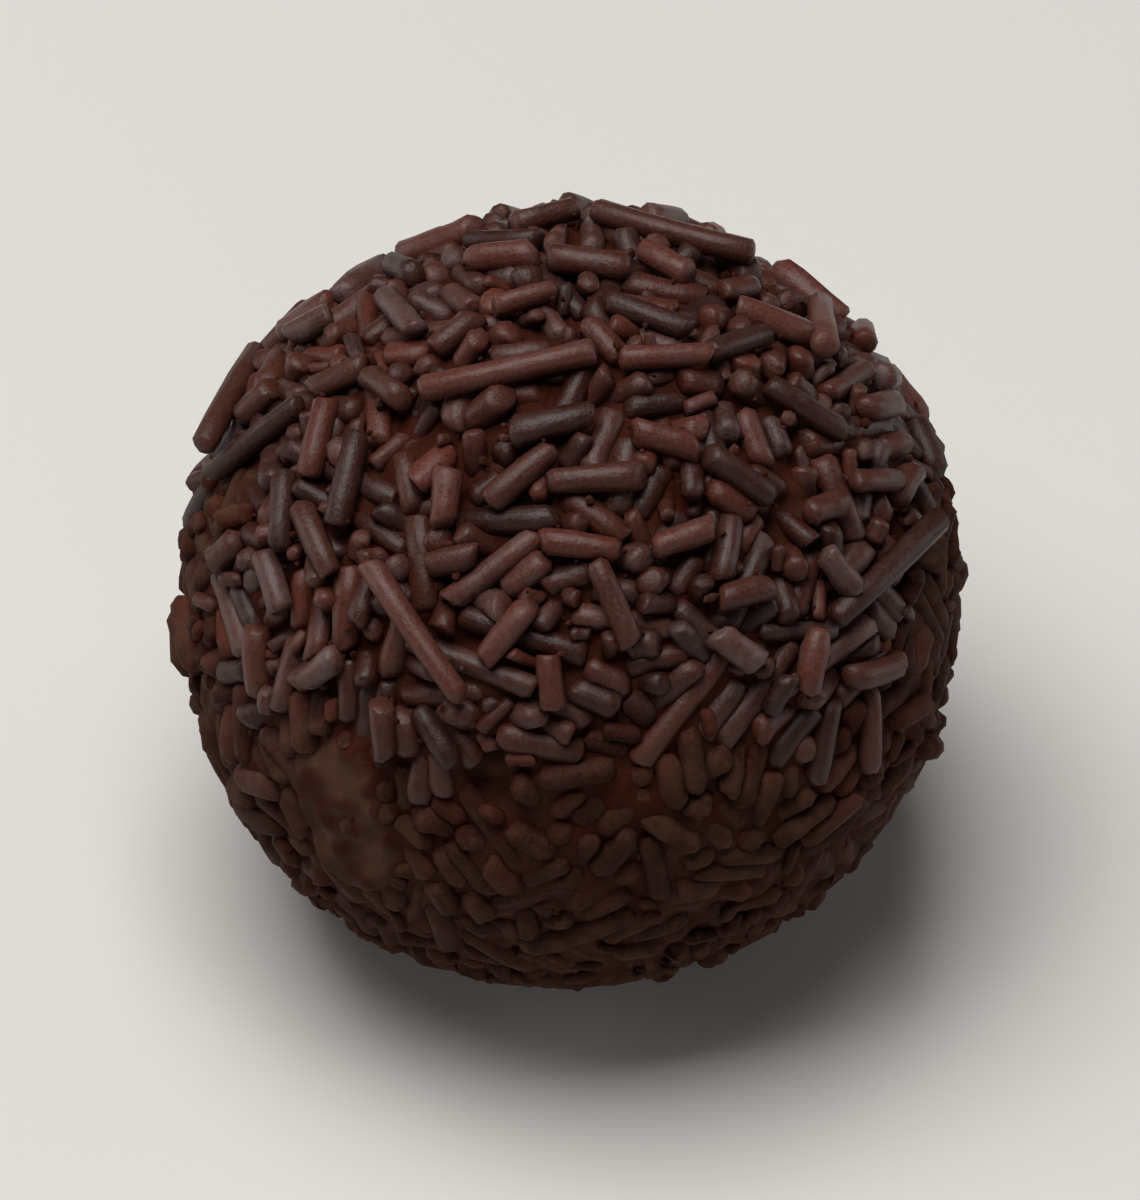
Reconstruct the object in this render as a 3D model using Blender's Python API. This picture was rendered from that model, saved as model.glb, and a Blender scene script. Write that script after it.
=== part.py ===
"""A hand-rolled chocolate truffle coated with chocolate sprinkles, as one solid.

The solid is the outer form of the sprinkle coat: a ball rolled between the palms, a little wider than it is
high, with broad soft lumps, long low swellings where sprinkles lie bunched together, and a small flat foot
where the soft filling has settled.
Metres, +Z up. The origin is at the centre of the ball's outline, on the level of the foot.
"""

import bmesh
import bpy
import numpy as np
from mathutils import Vector

MM = 0.001

# Driving dimensions
WIDTH_X = 32.6 * MM  # left to right, over the coat
WIDTH_Y = 32.2 * MM  # front to back, over the coat
FULL_HEIGHT = 31.8 * MM  # of the whole ball, before the foot is cut off
FOOT_RADIUS = 5.2 * MM  # of the flat spot that the truffle rests on
FOOT_SNAP = 0.25 * MM  # corners this near the foot's level move onto it, so its rim has no slivers

# Palm marks: broad lumps left by rolling the soft filling by hand
LUMP_COUNT = 14
LUMP_SPREAD = (5.5 * MM, 9.0 * MM)  # smallest and largest radius of a lump
LUMP_HEIGHT = (-0.34 * MM, 0.40 * MM)  # from the deepest hollow to the highest lump

# Four marks that the palms left plainly. Longitude runs from the front over the right side, in degrees, then
# latitude, radius and height: the blunt peak behind the top, the flats on both sides of it, and the right side
PALM_MARKS = (
    (173, 46, 4.6 * MM, 0.65 * MM),
    (206, 42, 6.8 * MM, -0.60 * MM),
    (136, 36, 6.6 * MM, -0.50 * MM),
    (90, 2, 5.0 * MM, -0.40 * MM),
)

# Bunches: where a few sprinkles lie side by side, the coat stands proud in a long low swelling
BUNCH_COUNT = 190
BUNCH_LENGTH = (2.0 * MM, 3.6 * MM)  # half the length of a bunch
BUNCH_WIDTH = (1.0 * MM, 1.6 * MM)  # half its width
BUNCH_HEIGHT = (0.15 * MM, 0.50 * MM)
BUNCH_CALM = 0.45  # share of a bunch's height that is left on the smoother lower half

ROUNDNESS = 5  # subdivisions of the starting icosphere, 5120 faces
SEED = 12
COCOA_BROWN = (0.036, 0.017, 0.012, 1.0)
COCOA_ROUGHNESS = 0.55


def clear_scene():
    """Removes whatever the file holds."""
    for old in list(bpy.data.objects):
        bpy.data.objects.remove(old, do_unlink=True)


def collection_for(name):
    """A collection of that name in the scene."""
    collection = bpy.data.collections.new(name)
    bpy.context.scene.collection.children.link(collection)
    return collection


def chocolate():
    """Dark chocolate: brown, dull, not metallic."""
    material = bpy.data.materials.new("dark_chocolate")
    material.use_nodes = True
    shader = material.node_tree.nodes["Principled BSDF"]
    shader.inputs["Base Color"].default_value = COCOA_BROWN
    shader.inputs["Roughness"].default_value = COCOA_ROUGHNESS
    shader.inputs["Metallic"].default_value = 0.0
    return material


def directions_over_ball(random, count):
    """Unit vectors spread evenly over the ball on a spiral, each nudged at random."""
    step = np.arange(count) + 0.5
    height = 1.0 - 2.0 * step / count
    around = step * np.pi * (1.0 + np.sqrt(5.0))
    ring = np.sqrt(1.0 - height**2)
    spiral = np.stack([ring * np.cos(around), ring * np.sin(around), height], axis=1)
    nudged = spiral + random.normal(0.0, 0.5 / np.sqrt(count), (count, 3))
    return nudged / np.linalg.norm(nudged, axis=1, keepdims=True)


def compass(longitude, latitude):
    """Unit vectors from angles in degrees: longitude 0 is the front, -Y, and 90 the right, +X."""
    lon, lat = np.radians(longitude), np.radians(latitude)
    return np.stack([np.sin(lon) * np.cos(lat), -np.cos(lon) * np.cos(lat), np.sin(lat)], axis=1)


def swellings(points, centres, turns, half_lengths, half_widths, heights):
    """Height of the surface at each point: the sum of soft bumps, each one
    height * exp(-(along / half_length)^2 - (across / half_width)^2),
    with along and across measured from the bump's centre in the plane that touches the ball there.
    """
    up = np.where(np.abs(centres[:, 2:]) < 0.9, [[0.0, 0.0, 1.0]], [[1.0, 0.0, 0.0]])
    east = np.cross(up, centres)
    east /= np.linalg.norm(east, axis=1, keepdims=True)
    north = np.cross(centres, east)
    length_way = east * np.cos(turns)[:, None] + north * np.sin(turns)[:, None]
    width_way = np.cross(centres, length_way)
    near_side = points @ centres.T > 0.0
    along = points @ length_way.T / half_lengths
    across = points @ width_way.T / half_widths
    bumps = heights * np.exp(-(along**2) - across**2)
    return np.where(near_side, bumps, 0.0).sum(axis=1)


def rolled_ball(mesh):
    """Turns a unit ball's mesh into the truffle's lumpy outer form, centred on its own middle."""
    random = np.random.default_rng(SEED)
    flat = np.empty(len(mesh.vertices) * 3, np.float32)
    mesh.vertices.foreach_get("co", flat)
    unit = flat.reshape(-1, 3).astype(float)
    unit /= np.linalg.norm(unit, axis=1, keepdims=True)
    half_size = np.array([WIDTH_X, WIDTH_Y, FULL_HEIGHT]) / 2.0
    ball = unit * half_size

    lumps = directions_over_ball(random, LUMP_COUNT)
    lump_radius = random.uniform(*LUMP_SPREAD, LUMP_COUNT)
    lump_turn = np.zeros(LUMP_COUNT)
    lump_height = random.uniform(*LUMP_HEIGHT, LUMP_COUNT)
    rise = swellings(ball, lumps, lump_turn, lump_radius, lump_radius, lump_height)

    longitude, latitude, mark_radius, mark_height = np.array(PALM_MARKS).T
    marks = compass(longitude, latitude)
    rise += swellings(ball, marks, np.zeros(len(marks)), mark_radius, mark_radius, mark_height)

    bunches = directions_over_ball(random, BUNCH_COUNT)
    bunch_turn = random.uniform(0.0, np.pi, BUNCH_COUNT)
    bunch_length = random.uniform(*BUNCH_LENGTH, BUNCH_COUNT)
    bunch_width = random.uniform(*BUNCH_WIDTH, BUNCH_COUNT)
    upper_share = np.clip(0.5 + bunches[:, 2], 0.0, 1.0)
    bunch_height = random.uniform(*BUNCH_HEIGHT, BUNCH_COUNT)
    bunch_height *= BUNCH_CALM + (1.0 - BUNCH_CALM) * upper_share
    rise += swellings(ball, bunches, bunch_turn, bunch_length, bunch_width, bunch_height)

    rise -= rise.mean()
    ball += unit * rise[:, None]
    ball -= (ball.max(axis=0) + ball.min(axis=0)) / 2.0
    mesh.vertices.foreach_set("co", ball.ravel())
    mesh.update()


def cut_foot(mesh):
    """Slices the bottom off level, leaving a flat of about FOOT_RADIUS, and closes it with a fan of faces."""
    half_width = (WIDTH_X + WIDTH_Y) / 4.0
    half_height = FULL_HEIGHT / 2.0
    level = -half_height * np.sqrt(1.0 - (FOOT_RADIUS / half_width) ** 2)
    shape = bmesh.new()
    shape.from_mesh(mesh)
    for corner in shape.verts:
        if abs(corner.co.z - level) < FOOT_SNAP:
            corner.co.z = level
    bmesh.ops.bisect_plane(
        shape,
        geom=shape.verts[:] + shape.edges[:] + shape.faces[:],
        plane_co=Vector((0.0, 0.0, level)),
        plane_no=Vector((0.0, 0.0, 1.0)),
        clear_inner=True,
    )
    rim = [edge for edge in shape.edges if edge.is_boundary]
    foot = bmesh.ops.holes_fill(shape, edges=rim)
    bmesh.ops.poke(shape, faces=foot["faces"])
    bmesh.ops.recalc_face_normals(shape, faces=shape.faces[:])
    bmesh.ops.translate(shape, verts=shape.verts[:], vec=Vector((0.0, 0.0, -level)))
    shape.to_mesh(mesh)
    shape.free()


def truffle(collection):
    """The whole truffle, one closed solid standing on its foot."""
    bpy.ops.mesh.primitive_ico_sphere_add(subdivisions=ROUNDNESS, radius=1.0)
    ball = bpy.context.object
    ball.name = "truffle"
    rolled_ball(ball.data)
    cut_foot(ball.data)
    ball.data.materials.append(chocolate())
    ball.data.shade_smooth()
    ball.data.set_sharp_from_angle(angle=np.radians(50.0))
    for home in list(ball.users_collection):
        home.objects.unlink(ball)
    collection.objects.link(ball)
    return ball


clear_scene()
truffle(collection_for("chocolate_truffle"))
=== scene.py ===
"""A dark chocolate truffle, rolled by hand in chocolate sprinkles, standing on a pale table top."""

import bpy
import numpy as np
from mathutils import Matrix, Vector


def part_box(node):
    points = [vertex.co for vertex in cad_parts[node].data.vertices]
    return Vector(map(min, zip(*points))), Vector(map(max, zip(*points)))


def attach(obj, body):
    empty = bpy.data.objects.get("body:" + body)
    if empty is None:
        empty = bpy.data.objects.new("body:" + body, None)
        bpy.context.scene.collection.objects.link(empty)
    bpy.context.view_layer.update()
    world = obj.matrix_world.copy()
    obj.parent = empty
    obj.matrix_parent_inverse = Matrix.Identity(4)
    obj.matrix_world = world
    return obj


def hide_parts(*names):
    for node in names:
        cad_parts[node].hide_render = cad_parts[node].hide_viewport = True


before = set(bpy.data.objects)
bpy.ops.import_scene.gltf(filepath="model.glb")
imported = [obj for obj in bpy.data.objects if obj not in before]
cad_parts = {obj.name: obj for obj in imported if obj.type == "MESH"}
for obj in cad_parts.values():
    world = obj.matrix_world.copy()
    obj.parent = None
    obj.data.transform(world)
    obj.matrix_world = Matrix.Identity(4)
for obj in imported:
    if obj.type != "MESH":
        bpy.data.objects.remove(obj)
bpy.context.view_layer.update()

MM = 0.001


# -----------------------------------------------------------------------------
# The rolled ball. A spoonful of soft chocolate filling is rolled between the palms into a slightly lumpy
# ball. This is its form: the level of the finished coat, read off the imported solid, and of the filling.
low, high = (np.array(corner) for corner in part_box("truffle"))
MEAN_RADIUS = (high[0] - low[0] + high[1] - low[1]) / 4.0
HEART = np.array([0.0, 0.0, high[2] - MEAN_RADIUS])  # the ball's middle, from which levels are measured
ROWS = 121  # of the table of levels, from the bottom pole to the top pole
COLUMNS = 240  # of the table, once round
BLUR = 0.055  # radians over which the solid's corners are blended
COVER_LOOSE = 1.08 * MM  # depth of the filling under the coat's outer level where the coat is loose
COVER_PRESSED = 0.70 * MM  # where the coat is pressed into the filling
COVER_SMEARED = 0.74 * MM  # where filling is rubbed over the coat
COVER_CAKED = 0.14 * MM  # and where it is caked on
HOLLOW = 0.50 * MM  # how much deeper it lies in a bare hollow
PRESSED_BELOW = 0.0  # height on the unit ball under which the coat is wholly pressed in
LOOSE_ABOVE = 0.66  # height over which it is wholly loose
RIGHT_RISE = 0.12  # how much higher the pressed part runs on the right
SMEARED = (0.35, 0.80)  # weight of the smears at which the coat starts to be covered, and is wholly so
CAKED = (0.95, 1.50)  # the same for filling that is caked on
HOLLOWED = (0.25, 0.65)  # the same for a bare hollow, whose weight is negative
RAGGED = 0.16  # weight of the waves that make the smears' edges ragged

# Patches on the sides where the palms rubbed filling over the sprinkles: longitude, latitude and radius in
# degrees, then how heavily it is rubbed on. The one whose weight is negative is a bare hollow
SMEARS = (
    (31, 0, 15, 0.75),
    (25, 22, 11, 0.4),
    (14, 8, 11, 0.5),
    (-12, 16, 6, -1.0),
    (-37, 7, 11, 1.9),
    (-33, -7, 10, 1.5),
    (-84, 25, 12, 1.1),
    (-72, -8, 14, 1.0),
    (2, -20, 12, 1.0),
    (12, -46, 18, 1.0),
    (84, -22, 18, 1.0),
    (76, 20, 11, 0.9),
    (128, 4, 15, 1.2),
    (172, -18, 20, 1.0),
    (-142, -2, 14, 1.5),
    (-108, -34, 20, 1.0),
    (-60, -52, 18, 1.0),
    (70, -58, 16, 1.0),
    (160, -60, 20, 1.0),
)


def compass(longitude, latitude):
    """Unit direction (sin lon cos lat, -cos lon cos lat, sin lat): longitude 0 is the front, 90 the right."""
    lon, lat = np.broadcast_arrays(np.radians(longitude), np.radians(latitude))
    return np.stack([np.sin(lon) * np.cos(lat), -np.cos(lon) * np.cos(lat), np.sin(lat)], axis=-1)


def unit(vectors):
    """The vectors scaled to length 1."""
    return vectors / np.maximum(np.linalg.norm(vectors, axis=-1, keepdims=True), 1e-12)


def eased(value, start, end):
    """Smooth step: 0 before start, 1 past end, 3 t^2 - 2 t^3 between."""
    step = np.clip((value - start) / (end - start), 0.0, 1.0)
    return step * step * (3.0 - 2.0 * step)


def coat_table():
    """Distance from the heart to the coat's outer level over a grid of directions: that of the solid's
    corners, blended with weights exp((cos angle - 1) / blur^2), and cut by the table top."""
    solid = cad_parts["truffle"].data
    corners = np.empty(len(solid.vertices) * 3, np.float32)
    solid.vertices.foreach_get("co", corners)
    corners = np.unique(corners.reshape(-1, 3), axis=0) - HEART
    reach = np.linalg.norm(corners, axis=1)
    latitude = np.linspace(-90.0, 90.0, ROWS)
    longitude = np.arange(COLUMNS) * 360.0 / COLUMNS
    table = np.empty((ROWS, COLUMNS))
    for row in range(ROWS):
        ways = compass(longitude, latitude[row])
        weights = np.exp((ways @ (corners / reach[:, None]).T - 1.0) / BLUR**2)
        table[row] = weights @ reach / weights.sum(axis=1)
        to_floor = HEART[2] / np.maximum(-ways[:, 2], 1e-6)
        table[row] = np.minimum(table[row], to_floor)
    return table


def read_table(table, ways):
    """A table's value in each unit direction, blended between its four nearest entries."""
    row = (np.arcsin(np.clip(ways[..., 2], -1.0, 1.0)) / np.pi + 0.5) * (ROWS - 1)
    column = (np.arctan2(ways[..., 0], -ways[..., 1]) / (2.0 * np.pi) % 1.0) * COLUMNS
    row_0 = np.minimum(row.astype(int), ROWS - 2)
    column_0 = column.astype(int) % COLUMNS
    column_1 = (column_0 + 1) % COLUMNS
    up, on = row - row_0, column - np.floor(column)
    below = table[row_0, column_0] * (1.0 - on) + table[row_0, column_1] * on
    above = table[row_0 + 1, column_0] * (1.0 - on) + table[row_0 + 1, column_1] * on
    return below * (1.0 - up) + above * up


def pressed_share(ways):
    """How far the coat is pressed in, 0 on top to 1 below: a smooth step of height, whose border is wavy and
    runs higher on the right."""
    x, y, z = np.moveaxis(ways, -1, 0)
    wave = 0.10 * np.sin(3.0 * x / 0.55 + 1.0) + 0.09 * np.sin(4.0 * y / 0.6 + 2.2)
    return eased(LOOSE_ABOVE - z + wave + RIGHT_RISE * x, 0.0, LOOSE_ABOVE - PRESSED_BELOW)


def smear_weight(ways):
    """Sum of weight * exp(-(angle / radius)^2) over the smeared patches, made ragged by a few waves."""
    patches = np.array(SMEARS, float)
    angle = np.arccos(np.clip(ways @ compass(patches[:, 0], patches[:, 1]).T, -1.0, 1.0))
    total = np.exp(-((angle / np.radians(patches[:, 2])) ** 2)) @ patches[:, 3]
    x, y, z = np.moveaxis(ways, -1, 0)
    return total + RAGGED * (np.sin(19.0 * x + 7.0 * z) * np.sin(17.0 * y - 9.0 * z))


def smeared_share(ways):
    """How far filling is rubbed over the coat, from 0 to 1."""
    return eased(smear_weight(ways), *SMEARED)


def hollow_share(ways):
    """How far a place is a bare hollow between sprinkles, from 0 to 1."""
    return eased(-smear_weight(ways), *HOLLOWED)


coat_levels = coat_table()


def coat_level(ways):
    """Distance from the heart to the outer level of the coat."""
    return read_table(coat_levels, ways)


def filling_level(ways):
    """Distance from the heart to the filling, the coat's level less its cover."""
    cover = COVER_LOOSE + (COVER_PRESSED - COVER_LOOSE) * pressed_share(ways)
    cover += (COVER_SMEARED - cover) * smeared_share(ways)
    cover += (COVER_CAKED - cover) * eased(smear_weight(ways), *CAKED)
    return coat_level(ways) - cover - HOLLOW * hollow_share(ways)


# -----------------------------------------------------------------------------
# The coat of sprinkles: extruded rods of sweetened cocoa paste, 1.2 mm thick and broken to 2 to 8 mm. The
# soft ball is rolled in a tray of them. The first stick and sink in, the next lie across them, and the palms
# press the coat level, hardest low on the sides.
THICKNESS = (0.50 * MM, 0.66 * MM)  # smallest and largest radius
SHOWN_THICKNESS = (0.54 * MM, 0.64 * MM)  # the same of those that stand out
FLAT_END = 0.6  # radii from the end of a sprinkle's axis to its flat end
SINK_LOOSE = 0.45 * MM  # how deep sprinkles sink into the filling on top
SINK_PRESSED = 0.64 * MM  # and low on the sides
PALM_LOOSE = (0.0 * MM, 0.36 * MM)  # how far over the coat's level the palms leave them on top
PALM_PRESSED = (-0.05 * MM, 0.14 * MM)  # and low on the sides
NESTLE = 0.88  # share of their thickness at which they bear on each other, as the paste is soft
FIRST_COUNT = 600  # sprinkles that stick to the filling
STUCK_COUNT = 720  # bits that stick in it on a slant, with one end out
STUCK_LENGTH = (1.5 * MM, 3.0 * MM)
STUCK_TILT = (10.0, 58.0)  # degrees off the level
LATER_COUNT = 280  # sprinkles that come to lie on those
FIRST, STUCK, LATER, SHOWN = range(4)  # the kinds of sprinkle, the last being those that stand out
START = np.array([0.6, 0.0, 2.6, 3.2]) * MM  # how far over the coat's level each kind starts
RANK = np.array([2, 0, 1, 3])  # of each kind: of two that run into one another, the lower goes
MERGED = 0.66  # share of their thickness nearer than which two run into one another
ROUNDS = 260  # of settling
SEARCH_EVERY = 8  # rounds, for neighbours
PULL = 0.10 * MM  # how far the ends are drawn in, in the first round
PALM_FORCE = 0.35  # share of the way that the palms press a sprinkle back in a round
SHORT_SHARE = 0.58  # of the sprinkles that are short bits
SHORTER = 0.20  # how much shorter they are where the coat is pressed
PROUD = (0.12, 1.06)  # mm that a sprinkle may stand over the pressed coat, and how much more on top
FLUSH = 0.7 * MM  # a sprinkle that stands out less is pressed in like its neighbours

# The sprinkles that stand out. Most are short and some are whole, and they lie higher where the coat is loose
SHOWN_TRIES = 280  # places for them all round the ball, many of which stay empty
SHOWN_LOW = -0.15  # height on the unit ball under which none stands out
SHOWN_THIN = 0.7  # share of the places that stay empty where the coat is pressed
SHOWN_LENGTH = (1.9 * MM, 3.9 * MM)  # of the short ones
WHOLE_LENGTH = (4.6 * MM, 7.8 * MM)
WHOLE_SHARE = 0.13  # of them that are whole, on top
SHOWN_RISE = (1.02 * MM, 0.36 * MM)  # usual height of the axis over the filling, on top and low on the sides
WHOLE_RISE = 0.12 * MM  # how much higher a whole one lies
RISE_SPREAD = 0.12 * MM  # how far that varies either way

# Their finishes: tone from 0 dark to 1 light, redness, grey bloom, which is partly dust and partly painted
# sheen, and how many in a hundred have each
DARK = (0.15, 0.25, 0.10, 16)
BROWN = (0.55, 0.40, 0.10, 38)
RED = (0.70, 0.95, 0.04, 10)
PINK = (0.95, 0.75, 0.25, 21)
GREY = (0.64, 0.20, 0.66, 12)
PALE = (0.95, 0.15, 1.00, 3)
FINISHES = np.array([DARK, BROWN, RED, PINK, GREY, PALE])
LOST_AND_SHADED = np.array([0.30, 0.45, 0.50])  # share of tone, redness and bloom lost where the coat is pressed; the lost tone is partly painted shade, darker towards the bottom

chance = np.random.default_rng(51)


def spread_over_ball(count):
    """Unit vectors evenly spread on a spiral, each nudged at random."""
    step = np.arange(count) + 0.5
    height = 1.0 - 2.0 * step / count
    ring = np.sqrt(1.0 - height**2)
    turn = step * np.pi * (1.0 + np.sqrt(5.0))
    spiral = np.stack([ring * np.cos(turn), ring * np.sin(turn), height], axis=1)
    return unit(spiral + chance.normal(0.0, 0.6 / np.sqrt(count), (count, 3)))


def dots(one, two):
    """The dot product of each vector of one with the same vector of two."""
    return np.einsum("ij,ij->i", one, two)


def level_way(ways, turns):
    """Unit vector square to each direction, turned from east towards north by the angle."""
    east = unit(np.stack([-ways[:, 1], ways[:, 0], np.zeros(len(ways))], axis=1))
    north = np.cross(ways, east)
    return east * np.cos(turns)[:, None] + north * np.sin(turns)[:, None]


def lengths_of(count):
    """Lengths of broken sprinkles: many of them short bits, the others longer and a few of them whole."""
    short = chance.uniform(1.4, 2.9, count)
    longer = 2.7 + 4.4 * chance.beta(1.3, 2.6, count)
    return np.where(chance.random(count) < SHORT_SHARE, short, longer) * MM


def near_pairs(middle, half, thick):
    """Numbers of the pairs whose surrounding balls, grown by 0.3 mm, touch: |a - b|^2 = a^2 + b^2 - 2ab."""
    reach = half + thick + 0.3 * MM
    apart = middle @ middle.T
    square = np.diag(apart)
    apart = square[:, None] + square[None, :] - 2.0 * apart
    return np.nonzero(np.triu(apart < (reach[:, None] + reach[None, :]) ** 2, 1))


def closest_points(middle, way, half, one, two):
    """Where the axes of each pair come closest, as distances along each from its middle, and the vector from
    the second such point to the first. The lines' closest points are held to the rods' ends in turn."""
    between = middle[one] - middle[two]
    lean = dots(way[one], way[two])
    along_one = dots(way[one], between)
    along_two = dots(way[two], between)
    square = np.maximum(1.0 - lean**2, 1e-4)
    s = np.clip((lean * along_two - along_one) / square, -half[one], half[one])
    t = np.clip(lean * s + along_two, -half[two], half[two])
    s = np.clip(lean * t - along_one, -half[one], half[one])
    return s, t, (middle[one] + s[:, None] * way[one]) - (middle[two] + t[:, None] * way[two])


def settle(middle, way, half, thick, sink, palm, loose, stuck):
    """Lets the sprinkles come to rest. In each round every end is drawn to the heart, sprinkles that run into
    each other are pushed apart, and ends and middles are pushed out of the filling, in from the palms and up
    from the table top. A sprinkle whose loose is under a half keeps its place and turn, and one that is stuck
    keeps its slant, with its outer end under the palms."""
    home, home_way = unit(middle), way
    slant = dots(way, home)[:, None]
    count = len(middle)
    still, stuck = (loose < 0.5)[:, None], stuck[:, None]
    for turn in range(ROUNDS):
        if turn % SEARCH_EVERY == 0:
            one, two = near_pairs(middle, half, thick)
        ends = np.stack([middle - half[:, None] * way, middle + half[:, None] * way])
        ends -= unit(ends) * (PULL * (1.0 - turn / ROUNDS) ** 0.5)

        s, t, gap = closest_points(middle, way, half, one, two)
        distance = np.maximum(np.linalg.norm(gap, axis=1), 1e-7)
        overlap = NESTLE * (thick[one] + thick[two]) - distance
        hit = overlap > 0.0
        a, b, s, t = one[hit], two[hit], s[hit], t[hit]
        push = gap[hit] / distance[hit, None] * overlap[hit, None]
        share_a, share_b = 0.5 + 0.5 * s / half[a], 0.5 + 0.5 * t / half[b]
        ease = loose[a] * ((1 - share_a) ** 2 + share_a**2) + loose[b] * ((1 - share_b) ** 2 + share_b**2)
        push = push / np.maximum(ease, 1e-3)[:, None]
        moves = np.zeros((2, count, 3))
        hits = np.zeros((2, count))
        for rod, share, sign in ((a, share_a, 0.5), (b, share_b, -0.5)):
            for end, weight in ((0, 1.0 - share), (1, share)):
                step = sign * (weight * loose[rod])[:, None] * push
                for axis in range(3):
                    moves[end, :, axis] += np.bincount(rod, step[:, axis], count)
                hits[end] += np.bincount(rod, weight, count)
        ends += moves / np.sqrt(np.maximum(hits, 1.0))[..., None]

        points = np.stack([ends[0], ends[1], (ends[0] + ends[1]) / 2.0])
        ways = unit(points)
        reach = np.linalg.norm(points, axis=2)
        ground = read_table(sticky_levels, ways) + thick - sink
        roof = read_table(coat_levels, ways) + palm - thick
        outward = np.maximum(ground - reach, 0.0)
        outward -= PALM_FORCE * np.maximum(reach - np.maximum(roof, ground), 0.0)
        shift = ways * outward[..., None]
        shift[..., 2] += np.maximum(thick - HEART[2] - points[..., 2] - shift[..., 2], 0.0)
        ends += shift[:2] * 0.8 + shift[2] * 0.4

        middle = (ends[0] + ends[1]) / 2.0
        way = unit(ends[1] - ends[0])
        middle = np.where(still, home * np.linalg.norm(middle, axis=1, keepdims=True), middle)
        out = unit(middle)
        rise = np.where(stuck, slant, dots(way, out)[:, None])
        level = np.where(still, home_way, way)
        level = unit(level - out * dots(level, out)[:, None])
        way = np.where(still | stuck, level * np.sqrt(1.0 - rise**2) + out * rise, way)
        tip = middle + half[:, None] * way
        target = (coat_level(unit(tip)) + palm - thick)[:, None]
        middle += np.where(stuck, out * (target - np.linalg.norm(tip, axis=1, keepdims=True)), 0.0)
        middle[:, 2] = np.maximum(middle[:, 2], thick + half * np.abs(way[:, 2]) - HEART[2])
    return middle, way


def sticky_table():
    """The level at which sprinkles stick in the filling, before any is rubbed over them, as a table."""
    longitude = np.arange(COLUMNS) * 360.0 / COLUMNS
    ways = compass(longitude, np.linspace(-90.0, 90.0, ROWS)[:, None])
    return coat_level(ways) - COVER_LOOSE - (COVER_PRESSED - COVER_LOOSE) * pressed_share(ways)


sticky_levels = sticky_table()


def apart_enough(middle, way, half, thick, rank):
    """Which sprinkles stay when, of each two that run into one another, the lower in rank is taken away,
    nearest pairs first."""
    one, two = near_pairs(middle, half, thick)
    gap = closest_points(middle, way, half, one, two)[2]
    share = np.linalg.norm(gap, axis=1) / (thick[one] + thick[two])
    stays = np.ones(len(middle), bool)
    for pair in np.argsort(share)[: np.count_nonzero(share < MERGED)]:
        a, b = one[pair], two[pair]
        if stays[a] and stays[b]:
            stays[a if rank[a] < rank[b] else b] = False
    return stays


def finishes(count, tone, redness, bloom_and_sheen, most_bloom_and_sheen=1.0):
    """So many finishes, whose tone, redness and bloom, the last partly painted sheen, are each drawn round a
    mean with a spread.
    """
    drawn = np.stack([chance.normal(*usual, count) for usual in (tone, redness, bloom_and_sheen)], axis=1)
    return np.clip(drawn, 0.0, (1.0, 1.0, most_bloom_and_sheen))


def standing_out():
    """The sprinkles that stand out, drawn at random: their directions, turns, lengths, radii and heights over
    the filling. None is in the bare hollow or on caked filling, and of two that would run into one another
    the shorter is left out."""
    ways = spread_over_ball(SHOWN_TRIES)
    ways = ways[chance.random(SHOWN_TRIES) > SHOWN_THIN * pressed_share(ways)]
    ways = ways[(ways[:, 2] > SHOWN_LOW) & (hollow_share(ways) < 0.5) & (smear_weight(ways) < CAKED[0])]
    count, loose = len(ways), 1.0 - pressed_share(ways)
    turns = chance.uniform(0.0, np.pi, count)
    whole = chance.random(count) < WHOLE_SHARE * loose
    length = np.where(whole, chance.uniform(*WHOLE_LENGTH, count), chance.uniform(*SHOWN_LENGTH, count))
    thick = chance.uniform(*SHOWN_THICKNESS, count)
    rise = SHOWN_RISE[1] + (SHOWN_RISE[0] - SHOWN_RISE[1]) * loose + WHOLE_RISE * whole
    rise += chance.uniform(-RISE_SPREAD, RISE_SPREAD, count)
    middle = ways * (read_table(sticky_levels, ways) + rise)[:, None]
    kept = apart_enough(middle, level_way(ways, turns), length / 2.0 - FLAT_END * thick, thick, length)
    return (part[kept] for part in (ways, turns, length, thick, rise))


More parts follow.
